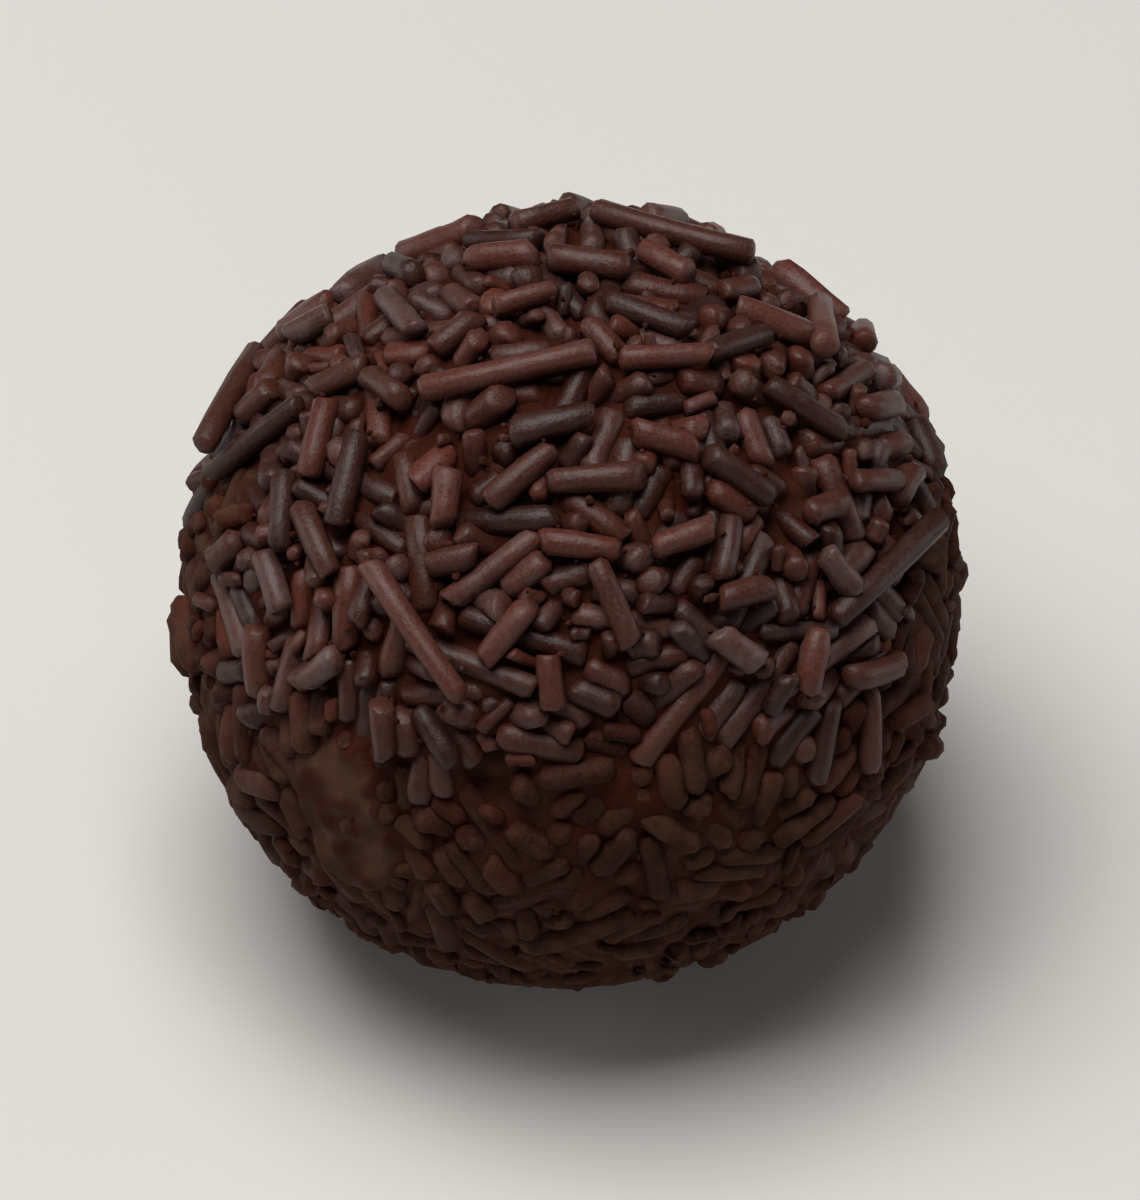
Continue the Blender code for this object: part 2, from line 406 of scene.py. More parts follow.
def roll_in_sprinkles():
    """All sprinkles of the coat, at rest: their middles, ways, half lengths, radii and finishes."""
    first, stuck, later = (spread_over_ball(count) for count in (FIRST_COUNT, STUCK_COUNT, LATER_COUNT))
    stuck = stuck[chance.random(STUCK_COUNT) > 0.55 * pressed_share(stuck)]
    later = later[chance.random(LATER_COUNT) > 0.85 * pressed_share(later)]
    shown, shown_turns, shown_length, shown_thick, shown_rise = standing_out()
    ways = np.concatenate([first, stuck, later, shown])
    count = len(ways)
    kind = np.repeat([FIRST, STUCK, LATER, SHOWN], [len(first), len(stuck), len(later), len(shown)])
    is_stuck, is_shown = kind == STUCK, kind == SHOWN

    # up to half of the sprinkles lie much as their neighbours do, fewer where the palms stirred them
    pressed = pressed_share(ways)
    swirl = 1.3 * np.sin(2.1 * ways[:, 0] + 1.7 * ways[:, 2])
    swirl += 1.1 * np.cos(2.6 * ways[:, 1] - 1.2 * ways[:, 2]) + chance.normal(0.0, 0.4, count)
    in_swirl = chance.random(count) < 0.5 - 0.4 * pressed
    turns = np.where(in_swirl, swirl, chance.uniform(0.0, 2.0 * np.pi, count))
    turns[is_shown] = shown_turns
    length = lengths_of(count) * (1.0 - SHORTER * pressed)
    length[is_stuck] = chance.uniform(*STUCK_LENGTH, is_stuck.sum())
    length[is_shown] = shown_length
    thick = chance.uniform(*THICKNESS, count)
    thick[is_shown] = shown_thick
    half = length / 2.0 - FLAT_END * thick
    middle = ways * (coat_level(ways) + START[kind])[:, None]
    middle += ways * chance.uniform(0.0, 1.2 * MM, (count, 1))
    tilt = np.radians(np.where(is_stuck, chance.uniform(*STUCK_TILT, count), 0.0))[:, None]
    way = level_way(ways, turns) * np.cos(tilt) + ways * np.sin(tilt)

    sink = SINK_LOOSE + (SINK_PRESSED - SINK_LOOSE) * pressed
    sink *= chance.uniform(0.7, 1.2, count)
    sink[is_stuck] = MEAN_RADIUS
    sink[is_shown] = shown_thick - shown_rise
    palm = chance.uniform(*PALM_LOOSE, count) * (1.0 - pressed)
    palm += chance.uniform(*PALM_PRESSED, count) * pressed
    palm[is_shown] = 3.0 * MM  # beyond their reach
    loose = np.where(is_shown, 0.05, 1.0)
    middle, way = settle(middle, way, half, thick, sink, palm, loose, is_stuck)

    # a sprinkle that stands off the pressed part of the ball, or lies in the bare hollow, is rubbed away
    tips = middle + np.array([-1.0, 0.0, 1.0])[:, None, None] * (half[:, None] * way)
    sag = np.array([1.0, 0.0, 1.0])[:, None] * pressed * half**2 / (2.0 * MEAN_RADIUS)
    proud = (np.linalg.norm(tips, axis=2) - sag - coat_level(unit(tips))).max(axis=0) + thick
    kept = (proud < (PROUD[0] + PROUD[1] * (1.0 - pressed)) * MM) & (hollow_share(unit(middle)) < 0.5)
    kept |= is_shown
    kept &= apart_enough(middle, way, half, thick, RANK[kind])
    kind[is_shown] = np.where(shown_rise < FLUSH, FIRST, SHOWN)

    finish = finishes(count, (0.40, 0.32), (0.42, 0.30), (0.10, 0.20), 0.5)
    finish[is_stuck, 1] = np.clip(finish[is_stuck, 1] + 0.25, 0.0, 1.0)
    finish[:, 1:] *= 1.0 - LOST_AND_SHADED[1:] * pressed[:, None]
    finish[is_shown] = chance.choice(FINISHES[:, :3], len(shown), p=FINISHES[:, 3] / FINISHES[:, 3].sum())
    # tone falls where the coat is pressed, low on the sides: partly rubbed paste and partly painted shade,
    # darker towards the bottom
    finish[:, 0] *= 1.0 - LOST_AND_SHADED[0] * pressed
    return (part[kept] for part in (middle, way, half, thick, finish, kind))


middle, way, half, thick, finish, kind = roll_in_sprinkles()

SIDES = 10  # of a sprinkle's cross-section
RINGS = 6  # along it, with a bevel at each end
SKIN_ROUGH = 0.055  # unevenness of its skin, as a share of its radius
WAIST = 0.065  # unevenness of its radius from ring to ring
BEADED_SHARE = 0.08  # of the sprinkles that came out in beads, twice as uneven
TAPER = 0.045  # usual gain in radius from the middle to an end
OVAL = (0.80, 1.0)  # height of the cross-section over its width
BEVEL = (0.20, 0.46)  # length of the round edge of a snapped end, in radii
END = (0.58, 0.84)  # radius of the flat inside it, in radii
SLANT = 0.26  # usual slope of a snapped end
STEEPEST = 0.4  # and its greatest
SNAP = 0.09  # roughness of a snapped end, in radii
BEND = 0.02  # sag in mm of the axis of a sprinkle whose axis is 2 mm long
BENT_SHARE = 0.12  # of the sprinkles that dried bent, 4 times as much
BENT_HALF = 1.6 * MM  # half the length at which a bent one snaps
CELL_EDGE = 0.04  # of the skins' map, left free round each skin
OFF_TABLE = 0.02 * MM  # height over the table of the flat that the coat rests on
END_PALER = 0.14  # tone that a broken end gains over the skin


def skins_map(mesh, count, sides, rings):
    """The map of the skins. Each rod has a square cell with its wall unrolled, once round across the cell and
    its length up it, above its two ends side by side."""
    across = int(np.ceil(np.sqrt(count)))
    corner = np.stack([np.arange(count) % across, np.arange(count) // across], axis=1)[:, None, :]
    ring, side = (grid.ravel() for grid in np.mgrid[0 : rings - 1, 0:sides])
    turn = np.stack([side, side + 1, side + 1, side], axis=1) / sides
    rise = np.stack([ring, ring, ring + 1, ring + 1], axis=1) / (rings - 1)
    wall = np.stack([CELL_EDGE + (1.0 - 2.0 * CELL_EDGE) * turn, 0.24 + (0.76 - CELL_EDGE) * rise], axis=2)
    angle = np.arange(sides) * 2.0 * np.pi / sides
    disc = np.stack([np.cos(angle), np.sin(angle)], axis=1) * 0.09
    near, far = disc[::-1] + (0.25, 0.12), disc + (0.75, 0.12)
    places = [((corner + part.reshape(1, -1, 2)) / across).reshape(-1, 2) for part in (wall, near, far)]
    layer = mesh.uv_layers.new(name="OFBake")
    layer.data.foreach_set("uv", np.concatenate(places).astype(np.float32).ravel())


def placed(name, contents):
    """A new object that holds the contents, in the scene."""
    piece = bpy.data.objects.new(name, contents)
    bpy.context.scene.collection.objects.link(piece)
    return piece


def mesh_of(name, points, faces):
    """A mesh of those corners and faces."""
    mesh = bpy.data.meshes.new(name)
    mesh.from_pydata(points.reshape(-1, 3), [], faces)
    mesh.update()
    return mesh


def give_vectors(mesh, name, vectors):
    """Stores one vector for each corner of the mesh under the name."""
    attribute = mesh.attributes.new(name, "FLOAT_VECTOR", "POINT")
    attribute.data.foreach_set("vector", np.ascontiguousarray(vectors, np.float32).ravel())


def give_rubbed(mesh, points, facing=1.0):
    """Stores how far each corner is rubbed: half the pressed share plus half the smeared share, less where it
    faces sideways or inwards. For the filling, facing is cut beside the sprinkles, which paints shade into
    the crevices there."""
    ways = unit(points.reshape(-1, 3) - HEART)
    rubbed = (0.5 * pressed_share(ways) + 0.5 * smeared_share(ways)) * eased(np.ravel(facing), -0.3, 0.6)
    attribute = mesh.attributes.new("rubbed", "FLOAT", "POINT")
    attribute.data.foreach_set("value", rubbed.astype(np.float32))


def walls_of(rings, sides):
    """The four-sided faces between rings of as many points as sides, numbered ring by ring."""
    ring = np.arange(rings - 1)[:, None] * sides
    here, following = np.arange(sides), (np.arange(sides) + 1) % sides
    corners = [ring + here, ring + following, ring + sides + following, ring + sides + here]
    return np.stack(corners, axis=-1).reshape(-1, 4)


def rods_mesh(name, middle, way, half, thick, finish, rough, sides, rings):
    """Joined mesh of sprinkles, each a ring of points carried along its axis through a few places:
    position = middle + way * t * length + bend * (|t|^power - mean) + thickness * profile(t) * (cos, sin),
    with snapped, nearly flat ends past a round edge. Each radius is uneven by the share rough."""
    count = len(middle)
    spin = chance.uniform(0.0, 2.0 * np.pi, count)
    around = np.arange(sides) * 2.0 * np.pi / sides
    out = unit(middle)
    side = unit(np.cross(way, out))
    up = np.cross(side, way)
    first = side * np.cos(spin)[:, None] + up * np.sin(spin)[:, None]
    second = np.cross(way, first)

    facing = dots(first, out)[:, None] * np.cos(around) + dots(second, out)[:, None] * np.sin(around)
    length = half + FLAT_END * thick
    pressed = pressed_share(out)[:, None]
    bevel = chance.uniform(*BEVEL, (count, 2)) * (1.0 + 0.7 * pressed) * thick[:, None] / length[:, None]
    along = np.linspace(-1.0, 1.0, rings - 2) + np.zeros((count, 1))
    along[:, 1:-1] += chance.uniform(-0.14, 0.14, (count, rings - 4))
    along[:, 0] += bevel[:, 0]
    along[:, -1] -= bevel[:, 1]
    along = np.concatenate([-np.ones((count, 1)), along, np.ones((count, 1))], axis=1)
    beaded = np.where(chance.random((count, 1)) < BEADED_SHARE, 2.0, 1.0)
    profile = 1.0 + beaded * chance.uniform(-WAIST, WAIST, (count, rings))
    profile += chance.normal(0.0, TAPER, (count, 1)) * along
    profile[:, (0, -1)] *= chance.uniform(*END, (count, 2)) - 0.12 * pressed
    oval = chance.uniform(*OVAL, count)
    uneven = chance.uniform(1.0 - rough, 1.0 + rough, (count, rings, sides))
    radius = thick[:, None, None] * profile[:, :, None] * uneven
    across = radius * np.cos(around)
    upward = radius * np.sin(around) * oval[:, None, None]
    slant = np.clip(chance.normal(0.0, SLANT, (count, 2, 2)), -STEEPEST, STEEPEST)
    lean = np.zeros((count, rings, 2))
    lean[:, :2] = slant[:, :1]
    lean[:, -2:] = slant[:, 1:]
    forward = (along * length[:, None])[..., None] + lean[..., 0, None] * across + lean[..., 1, None] * upward
    forward[:, (0, -1)] += chance.uniform(-SNAP, SNAP, (count, 2, sides)) * thick[:, None, None]
    bend_way = chance.uniform(0.0, 2.0 * np.pi, count)
    bend = chance.uniform(0.2, 1.0, count) * BEND * half**2 / MM
    bend *= np.where((chance.random(count) < BENT_SHARE) & (half < BENT_HALF), 4.0, 1.0)
    power = chance.uniform(1.2, 2.4, (count, 1))
    curve = np.abs(along) ** power
    curve = bend[:, None] * (curve - curve.mean(axis=1, keepdims=True))
    across += (curve * np.cos(bend_way)[:, None])[..., None]
    upward += (curve * np.sin(bend_way)[:, None])[..., None]
    middle, way, first, second, up = (axis[:, None, None, :] for axis in (middle, way, first, second, up))
    points = middle + way * forward[..., None] + first * across[..., None] + second * upward[..., None]
    points += HEART
    hug = pressed[..., None] * forward**2 / (2.0 * MEAN_RADIUS)
    points -= up * hug[..., None]
    points[..., 2] = np.maximum(points[..., 2], OFF_TABLE)

    start = (np.arange(count) * rings * sides)[:, None, None]
    walls = (walls_of(rings, sides) + start).reshape(-1, 4)
    here = np.arange(sides)
    near_cap = here[::-1] + start[:, 0]
    far_cap = here + (rings - 1) * sides + start[:, 0]
    mesh = mesh_of(name, points, walls.tolist() + near_cap.tolist() + far_cap.tolist())
    mesh.shade_smooth()
    skins_map(mesh, count, sides, rings)

    # the grain runs along each sprinkle: distance along it and the way round it, shifted at random
    shift = chance.uniform(0.0, 60.0, (count, 1, 1))
    grain = (forward / MM + shift, np.cos(around) * 0.6 + shift * 0.7, np.sin(around) * 0.6)
    give_vectors(mesh, "grain", np.stack(np.broadcast_arrays(*grain), axis=-1))
    shades = np.repeat(finish[:, None, :], rings, axis=1)
    shades[:, (0, -1), 0] += END_PALER
    give_vectors(mesh, "finish", np.repeat(shades, sides, axis=1))
    give_rubbed(mesh, points, np.repeat(facing[:, None, :], rings, axis=1))
    return placed(name, mesh)


class Nodes:
    """A material and a short way to lay out its nodes."""

    def __init__(self, name):
        self.material = bpy.data.materials.new(name)
        self.material.use_nodes = True
        self.tree = self.material.node_tree
        self.shader = self.tree.nodes["Principled BSDF"]

    def add(self, kind, settings=None, **inputs):
        """A new node with its settings and inputs."""
        node = self.tree.nodes.new(kind)
        for key, value in (settings or {}).items():
            setattr(node, key, value)
        self.set(node, **inputs)
        return node

    def set(self, node, **inputs):
        """Feeds a node's inputs by name, with _ for a space."""
        for key, value in inputs.items():
            self.feed(node.inputs[key.replace("_", " ")], value)

    def feed(self, socket, value):
        """Links another node's output to the socket, or sets it to a number or colour."""
        if isinstance(value, bpy.types.NodeSocket):
            self.tree.links.new(value, socket)
        else:
            socket.default_value = value

    def place(self, kind, settings, *values):
        """The first output of a new node whose inputs are fed in their order."""
        node = self.add(kind, settings)
        for socket, value in zip(node.inputs, values):
            self.feed(socket, value)
        return node.outputs[0]

    def stored(self, name, output="Vector"):
        """A value that the mesh stores under the name."""
        return self.add("ShaderNodeAttribute", {"attribute_name": name}).outputs[output]

    def math(self, operation, first, second):
        """The two values put together by the operation."""
        return self.place("ShaderNodeMath", {"operation": operation}, first, second)

    def spread(self, value, low_in, high_in, low_out, high_out):
        """The value's smooth step from low_in to high_in, as a number from low_out to high_out."""
        values = (value, low_in, high_in, low_out, high_out)
        return self.place("ShaderNodeMapRange", {"interpolation_type": "SMOOTHSTEP"}, *values)

    def mix(self, share, first, second):
        """The first colour with a share of the second."""
        node = self.add("ShaderNodeMix", {"data_type": "RGBA"})
        self.feed(node.inputs[0], share)
        self.feed(node.inputs[6], first)
        self.feed(node.inputs[7], second)
        return node.outputs[2]

    def noise(self, vector, scale, detail=2.0, roughness=0.5):
        """Soft random values round 0.5, in lumps of 1 / scale."""
        settings = {"Vector": vector, "Scale": scale, "Detail": detail, "Roughness": roughness}
        return self.add("ShaderNodeTexNoise", **settings).outputs["Fac"]


FILM_DARK = (0.036, 0.0150, 0.0092, 1.0)  # filling that is spread thin over the coat
FILM_PALE = (0.060, 0.0265, 0.0160, 1.0)


def sprinkle_chocolate(name, gloss, smoothest, roughest):
    """Sprinkle chocolate: a dark brown skin, uneven in tone and redness from one sprinkle to the next, with a
    grey bloom that is partly dust and partly painted sheen, faint drag marks and small pits. Where it is
    rubbed it is duller, under patches of filling. Gloss is the strength of its reflections, and the other two
    bound its roughness."""
    nodes = Nodes(name)
    nodes.set(nodes.shader, Specular_IOR_Level=gloss)
    tone, redness, bloom_and_sheen = nodes.add("ShaderNodeSeparateXYZ", Vector=nodes.stored("finish")).outputs
    rubbed = nodes.stored("rubbed", "Fac")
    grain = nodes.stored("grain")
    drag = nodes.add("ShaderNodeMapping", {"vector_type": "POINT"}, Vector=grain, Scale=(0.5, 1.6, 1.6))
    marks = nodes.noise(drag.outputs[0], 1.9, 2.0, 0.5)
    speck = nodes.noise(grain, 5.5, 4.0, 0.65)
    patch = nodes.noise(grain, 1.1, 2.0)

    brown = nodes.mix(tone, (0.0175, 0.0038, 0.0016, 1.0), (0.065, 0.0200, 0.0114, 1.0))
    red = nodes.mix(tone, (0.0240, 0.0048, 0.0022, 1.0), (0.092, 0.0230, 0.0138, 1.0))
    colour = nodes.mix(redness, brown, red)
    # grey-pink bloom in patches, less where rubbed: partly dust and partly painted sheen
    dust_and_sheen = nodes.math("MULTIPLY", nodes.math("ADD", bloom_and_sheen, 0.03), nodes.spread(patch, 0.35, 0.7, 0.25, 1.0))
    dust_and_sheen = nodes.math("MULTIPLY", dust_and_sheen, nodes.math("SUBTRACT", 1.0, rubbed))
    colour = nodes.mix(dust_and_sheen, colour, (0.098, 0.062, 0.058, 1.0))
    shade = nodes.spread(speck, 0.3, 0.75, 0.76, 1.20)
    scale = nodes.add("ShaderNodeVectorMath", {"operation": "SCALE"}, Vector=colour, Scale=shade)
    cover = nodes.spread(nodes.math("ADD", speck, rubbed), 0.72, 1.25, 0.0, 0.85)
    film = nodes.mix(nodes.spread(patch, 0.35, 0.65, 0.0, 1.0), FILM_DARK, FILM_PALE)
    satin = nodes.spread(speck, 0.3, 0.8, smoothest, roughest)
    satin = nodes.math("ADD", satin, nodes.math("MULTIPLY", rubbed, 0.25))
    relief = nodes.math("ADD", nodes.math("MULTIPLY", marks, 0.45), nodes.math("MULTIPLY", speck, 0.45))
    bump = nodes.add("ShaderNodeBump", Strength=1.0, Distance=0.08 * MM, Height=relief).outputs[0]
    colour = nodes.mix(cover, scale.outputs[0], film)
    nodes.set(nodes.shader, Base_Color=colour, Roughness=satin, Normal=bump)
    return nodes.material


satin_chocolate = sprinkle_chocolate("satin_sprinkles", 0.25, 0.34, 0.52)
dull_chocolate = sprinkle_chocolate("dull_sprinkles", 0.05, 0.46, 0.66)
DULL_OVER = 0.62  # pressed and smeared share, together, over which a sprinkle's skin is dulled


def dulled(ways):
    """Whether the palms dulled the sprinkle in each direction, with some chance near the border."""
    return pressed_share(ways) + smeared_share(ways) + chance.normal(0.0, 0.08, len(ways)) > DULL_OVER


dull = dulled(unit(middle))
groups = {
    "pressed_sprinkles": dull & (kind != SHOWN),
    "slanting_sprinkles": ~dull & (kind == STUCK),
    "lying_sprinkles": ~dull & (kind == FIRST),
    "top_sprinkles": (~dull & (kind == LATER)) | (kind == SHOWN),
}
for name, chosen in groups.items():
    rods = (part[chosen] for part in (middle, way, half, thick, finish))
    piece = rods_mesh(name, *rods, SKIN_ROUGH, SIDES, RINGS)
    piece.data.materials.append(dull_chocolate if name == "pressed_sprinkles" else satin_chocolate)
    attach(piece, "root")


# -----------------------------------------------------------------------------
# Broken bits. Sprinkles snap as they are rolled, and short stubs of them are pushed into the gaps between
# the whole ones, at all angles, until the coat is closed.
BIT_TRIES = 12000
BIT_TURNS = 4  # ways that each bit is turned to find the one that fits best
BIT_HALF = (0.15 * MM, 0.75 * MM)  # half the length of its axis
BIT_THICK = (0.27 * MM, 0.62 * MM)  # smallest and largest radius
BIT_TILT = 55.0  # degrees off the level, at most
BIT_CALM = 0.7  # share by which it is tilted less where the coat is pressed
BIT_PROUD = (0.50 * MM, 0.04 * MM)  # how far it may stand over the coat's level, on top and low on the sides
BIT_SQUEEZE = 0.14 * MM  # how far it may be pressed into its neighbours
BIT_DEPTH = (0.42 * MM, 1.10 * MM)  # of its middle under the coat's level where the coat is loose
BIT_RISE = 0.55  # share by which it lies less deep where the coat is pressed
BIT_SIDES = 8
BIT_ROUGH = 0.085  # unevenness of its radius
BANDS = 80  # of height, in which gaps are measured
NEAR = 2.0 * MM  # gaps wider than this don't matter


def gap_to_rods(points, middle, way, half, thick):
    """Distance from each point to the nearest rod's skin, which is that to its axis less its radius. Points
    are taken in bands of height, each against the rods near the band."""
    gap = np.full(len(points), NEAR)
    for band in np.array_split(np.argsort(points[:, 2]), BANDS):
        bottom, top = points[band, 2].min(), points[band, 2].max()
        near = np.abs(middle[:, 2] - (bottom + top) / 2.0) < half + thick + NEAR + (top - bottom) / 2.0
        offset = points[band][:, None, :] - middle[near]
        along = np.clip(np.einsum("ijk,jk->ij", offset, way[near]), -half[near], half[near])
        offset -= along[..., None] * way[near]
        gap[band] = np.minimum(NEAR, (np.linalg.norm(offset, axis=2) - thick[near]).min(axis=1))
    return gap


def fitting_bits():
    """Middles, ways, half lengths and radii of the bits. Each is tried at a random place in several turns,
    and the roomiest is kept. Then, from the largest down, those stay that run into none already there."""
    ways = spread_over_ball(BIT_TRIES)
    pressed = pressed_share(ways)
    depth = chance.uniform(*BIT_DEPTH, BIT_TRIES) * (1.0 - BIT_RISE * pressed)
    centre = ways * (coat_level(ways) - depth)[:, None]
    half_bit = chance.uniform(*BIT_HALF, BIT_TRIES)
    room = np.full(BIT_TRIES, -1.0)
    best = np.zeros((BIT_TRIES, 3))
    middle_room = gap_to_rods(centre, middle, way, half, thick)
    open_here = middle_room + BIT_SQUEEZE > BIT_THICK[0]
    for _ in range(BIT_TURNS):
        turns = chance.uniform(0.0, np.pi, BIT_TRIES)
        tilt = chance.uniform(-BIT_TILT, BIT_TILT, BIT_TRIES) * (1.0 - BIT_CALM * pressed)
        tilt = np.radians(tilt)[:, None]
        tried = level_way(ways, turns) * np.cos(tilt) + ways * np.sin(tilt)
        found = np.full(BIT_TRIES, -1.0)
        for sign in (-1.0, 1.0):
            tips = (centre + sign * half_bit[:, None] * tried)[open_here]
            tip_room = gap_to_rods(tips, middle, way, half, thick)
            found[open_here] = tip_room if sign < 0.0 else np.minimum(found[open_here], tip_room)
        found = np.minimum(found, middle_room)
        better = found > room
        room[better], best[better] = found[better], tried[better]
    size = np.minimum(room + BIT_SQUEEZE, chance.uniform(0.44 * MM, BIT_THICK[1], BIT_TRIES))
    tips = centre[None] + np.array([-1.0, 1.0])[:, None, None] * half_bit[:, None] * best
    proud = np.linalg.norm(tips, axis=2).max(axis=0) + size - coat_level(ways)
    fits = (size > BIT_THICK[0]) & (proud < BIT_PROUD[0] + (BIT_PROUD[1] - BIT_PROUD[0]) * pressed)
    fits = np.flatnonzero(fits & (hollow_share(ways) < 0.5))
    fits = fits[np.argsort(-(size * (0.5 + half_bit / BIT_HALF[1]))[fits])]
    along = best[:, None, :] * half_bit[:, None, None] * np.array([-1.0, 0.0, 1.0])[:, None]
    spots = centre[:, None, :] + along
    kept = np.zeros(len(fits), int)
    count = 0
    for number in fits:
        there = kept[:count]
        apart = np.linalg.norm(spots[there][:, :, None, :] - spots[number], axis=3)
        if count == 0 or (apart.min(axis=(1, 2)) - size[there] - size[number]).min() > -BIT_SQUEEZE:
            kept[count] = number
            count += 1
    kept = kept[:count]
    return centre[kept], best[kept], half_bit[kept], size[kept]


bit_middle, bit_way, bit_half, bit_thick = fitting_bits()
bit_finish = finishes(len(bit_middle), (0.50, 0.24), (0.60, 0.28), (0.08, 0.14))
# the bits also lose tone where the coat is pressed: partly painted shade, darker towards the bottom
bit_finish[:, :2] *= 1.0 - LOST_AND_SHADED[:2] * pressed_share(unit(bit_middle))[:, None]
dull = dulled(unit(bit_middle))
groups = {"pressed_bits": (dull, dull_chocolate), "broken_bits": (~dull, satin_chocolate)}
for name, (chosen, chocolate) in groups.items():
    bits = (part[chosen] for part in (bit_middle, bit_way, bit_half, bit_thick, bit_finish))
    piece = rods_mesh(name, *bits, BIT_ROUGH, BIT_SIDES, RINGS)
    piece.data.materials.append(chocolate)
    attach(piece, "root")

all_bits = (bit_middle, bit_way, bit_half, bit_thick)
whole_coat = [np.concatenate(pair) for pair in zip((middle, way, half, thick), all_bits)]


# -----------------------------------------------------------------------------
# Crumbs. The smallest splinters of the sprinkles cling to them, mostly down in the gaps, out of the palms'
# reach. Each is an angular grain of 20 flat faces.
CRUMB_TRIES = 16000
CRUMB_SIZE = (0.09 * MM, 0.26 * MM)  # smallest and largest radius
CRUMB_TOUCH = 0.03 * MM  # how close a crumb is to the sprinkle that it clings to
SHELTER = 0.40 * MM  # height over a crumb at which a sprinkle beside it shelters it from the palms
GOLDEN = (1.0 + np.sqrt(5.0)) / 2.0


def grain_shape():
    """Corners and faces of an icosahedron: (0, +-1, +-golden ratio) in its three turns, at radius 1."""
    plus = [(0.0, a, b * GOLDEN) for a in (-1.0, 1.0) for b in (-1.0, 1.0)]
    corners = np.array([point[turn:] + point[:turn] for turn in range(3) for point in plus])
    edge = np.isclose(np.linalg.norm(corners[:, None] - corners, axis=2), 2.0)
    faces = []
    for a in range(12):
        for b in range(a + 1, 12):
            for c in range(b + 1, 12):
                if edge[a, b] and edge[b, c] and edge[a, c]:
                    normal = np.cross(corners[b] - corners[a], corners[c] - corners[a])
                    faces.append((a, b, c) if normal @ corners[a] > 0.0 else (a, c, b))
    return unit(corners), np.array(faces)


def crumbs_mesh(name):
    """Joined mesh of crumbs: position = middle + size * corner * uneven share, stretched one way."""
    ways = spread_over_ball(CRUMB_TRIES)
    pressed = pressed_share(ways)
    depth = chance.uniform(-0.10 * MM, 1.0 * MM, CRUMB_TRIES) * (1.0 - 0.6 * pressed)
    centre = ways * (coat_level(ways) - depth)[:, None]
    size = CRUMB_SIZE[0] + (CRUMB_SIZE[1] - CRUMB_SIZE[0]) * chance.random(CRUMB_TRIES) ** 2.5
    gap = gap_to_rods(centre, *whole_coat) - 0.35 * size
    above = gap_to_rods(centre + ways * SHELTER, *whole_coat)
    kept = (np.abs(gap) < CRUMB_TOUCH) & (above < 0.7 * SHELTER)
    kept &= (smeared_share(ways) < 0.30) & (chance.random(CRUMB_TRIES) > 0.8 * eased(pressed, 0.3, 0.9))
    centre, size, ways = centre[kept] + HEART, size[kept], ways[kept]
    count = len(size)
    corners, faces = grain_shape()
    turned = unit(chance.normal(0.0, 1.0, (count, 3)))
    shape = corners * chance.uniform(0.78, 1.15, (count, 12, 1))
    stretch = chance.uniform(0.0, 0.8, (count, 1, 1))
    shape = shape + turned[:, None, :] * np.einsum("ijk,ik->ij", shape, turned)[..., None] * stretch
    points = centre[:, None, :] + shape * size[:, None, None]
    points[..., 2] = np.maximum(points[..., 2], OFF_TABLE)
    triangles = (faces[None] + (np.arange(count) * 12)[:, None, None]).reshape(-1, 3)
    mesh = mesh_of(name, points, triangles.tolist())

    # each crumb's faces lie in a square cell of the map, five across and four up
    across = int(np.ceil(np.sqrt(count)))
    corner = np.stack([np.arange(count) % across, np.arange(count) // across], axis=1)[:, None, None, :]
    box = np.stack([np.arange(20) % 5 / 5.0, np.arange(20) // 5 / 4.0], axis=1)[:, None, :]
    triangle = np.array([(0.03, 0.03), (0.17, 0.03), (0.10, 0.21)])
    places = (corner + box + triangle) / across
    mesh.uv_layers.new(name="OFBake").data.foreach_set("uv", places.astype(np.float32).ravel())

    shade = finishes(count, (0.48, 0.20), (0.35, 0.25), (0.10, 0.12))
    give_vectors(mesh, "finish", np.repeat(shade, 12, axis=0))
    give_vectors(mesh, "grain", points / MM)
    give_rubbed(mesh, points)
    return placed(name, mesh)


crumbs = crumbs_mesh("crumbs")
crumbs.data.materials.append(dull_chocolate)
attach(crumbs, "root")


# -----------------------------------------------------------------------------
# The filling. Soft dark chocolate, cream and butter, matt and slightly grainy. It shows in the gaps between
# sprinkles, where rolling has squeezed it up around them, and in patches low on the sides.
FILLING_ROWS = 200
FILLING_COLUMNS = 480
SQUEEZE = (0.14 * MM, 0.18 * MM)  # how far it rises beside a sprinkle, on top and low on the sides
SQUEEZE_SPREAD = 0.22 * MM  # and how far from the sprinkle that dies away
CREVICE_SHADE_SPREAD = 0.20 * MM  # how far from a sprinkle the filling is painted darker: painted shade in the crevice beside it
LUMPS = ((1.5 * MM, 0.09 * MM), (0.65 * MM, 0.06 * MM))  # width and height of its crumbly lumps
WAVES = 40  # in random ways, which make up the lumps of one size
LOWEST = 0.15 * MM  # of the filling over the table, under the coat


def lumps_of(points):
    """Crumbly relief: for each size of lump the sum of waves in random ways, divided by its usual height."""
    relief = np.zeros(len(points))
    for width, rise in LUMPS:
        waves = unit(chance.normal(0.0, 1.0, (WAVES, 3)))
        waves = waves * chance.uniform(0.7, 1.4, (WAVES, 1)) * np.pi / width
        height = np.cos(points @ waves.T + chance.uniform(0.0, 2.0 * np.pi, WAVES)).sum(axis=1)
        relief += rise * height / (WAVES / 2.0) ** 0.5
    return relief


